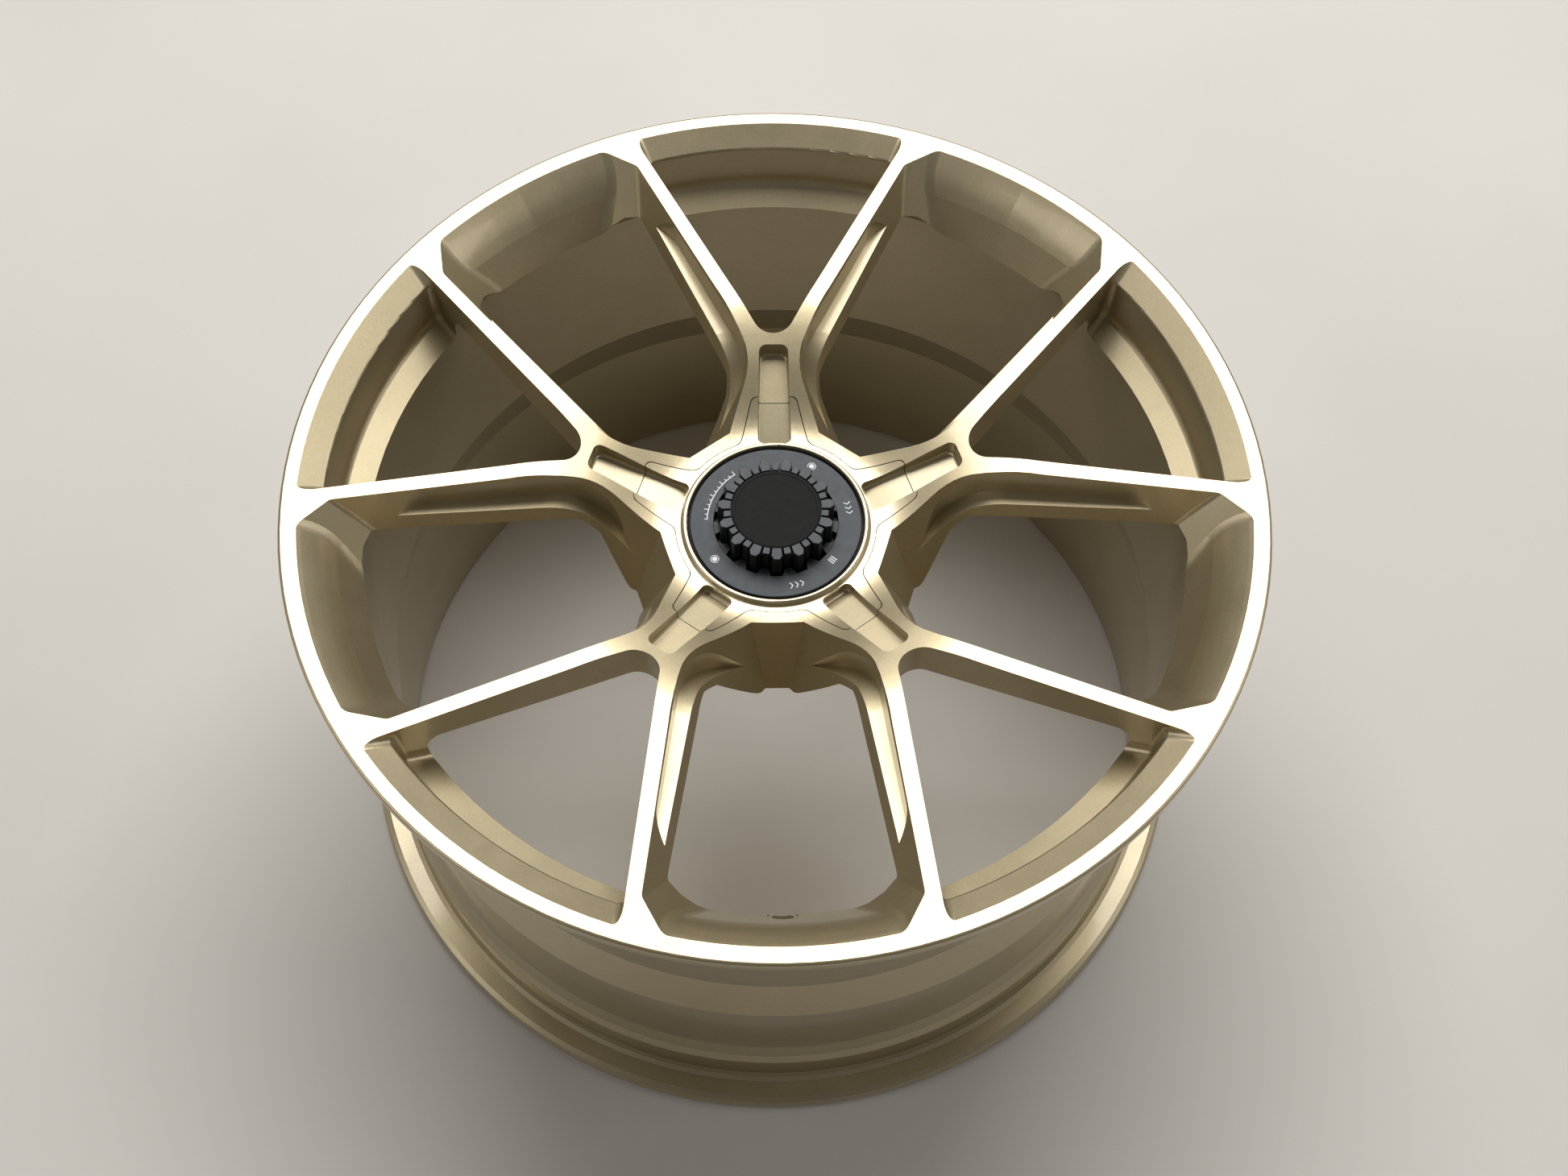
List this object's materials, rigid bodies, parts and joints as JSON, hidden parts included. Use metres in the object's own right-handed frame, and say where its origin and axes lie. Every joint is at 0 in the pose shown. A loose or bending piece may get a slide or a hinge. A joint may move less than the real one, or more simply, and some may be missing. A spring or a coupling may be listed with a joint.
{
  "type": "forged wheel rim",
  "caption": "One-piece forged wheel rim with paired thin Y spokes, a star-shaped hub cover and a dark castellated centre lock with a spring sleeve and a cap",
  "frame": {"origin": "centre of the plane of the rear flange, on the wheel's axis", "axes": "+Z is the wheel's axis, pointing outboard (the spoked face is up); +X and +Y lie in the wheel plane, with one spoke pair centred on +Y and the valve hole on -Y"},
  "size_m": [0.543, 0.543, 0.2994],
  "materials": {
    "rim_paint": "satin champagne gold lacquer over forged aluminium",
    "cover_paint": "satin champagne gold lacquer",
    "slate_anodise": "satin slate anodised",
    "black_anodise": "satin dark anodised, machined",
    "collar_metal": "clear anodised, turned",
    "zinc_steel": "dark zinc plated",
    "washer_steel": "ground, oiled",
    "spring_steel": "oil tempered wire",
    "seal_rubber": "matt black rubber",
    "cap_plastic": "deep matt black moulding",
    "mark_paint": "pale printed marks"
  },
  "bodies": {
    "rim": {"forged_rim": "rim_paint", "star_cover": "cover_paint", "hub_collar": "collar_metal", "collar_screws": "zinc_steel", "dowel_pins": "zinc_steel"},
    "washer": {"slip_washer": "washer_steel"},
    "nut": {"lock_nut": "black_anodise", "index_ring": "slate_anodise", "index_marks": "mark_paint", "nut_seal": "seal_rubber", "snap_ring": "spring_steel"},
    "sleeve": {"lock_sleeve": "collar_metal", "lock_spring": "spring_steel"},
    "cap": {"centre_cap": "cap_plastic", "cap_ring": "spring_steel"}
  },
  "joints": [
    {"name": "nut_rise", "type": "slide", "parent": "rim", "child": "washer", "axis": [0, 0, 1], "range_m": [0, 0.02]},
    {"name": "nut_turn", "type": "hinge", "parent": "washer", "child": "nut", "pos_m": [0, 0, 0.25], "axis": [0, 0, 1], "range_deg": [0, 3600]},
    {"name": "sleeve_push", "type": "slide", "parent": "nut", "child": "sleeve", "axis": [0, 0, -1], "range_m": [0, 0.006], "stiffness_N_per_m": 1500, "springref_m": -0.006, "deforming": ["lock_spring"]},
    {"name": "cap_pull", "type": "slide", "parent": "nut", "child": "cap", "axis": [0, 0, 1], "range_m": [0, 0.03]}
  ],
  "couplings": [
    {"joint": "nut_turn", "follows": "nut_rise", "rad_per_m": 3141.6}
  ]
}
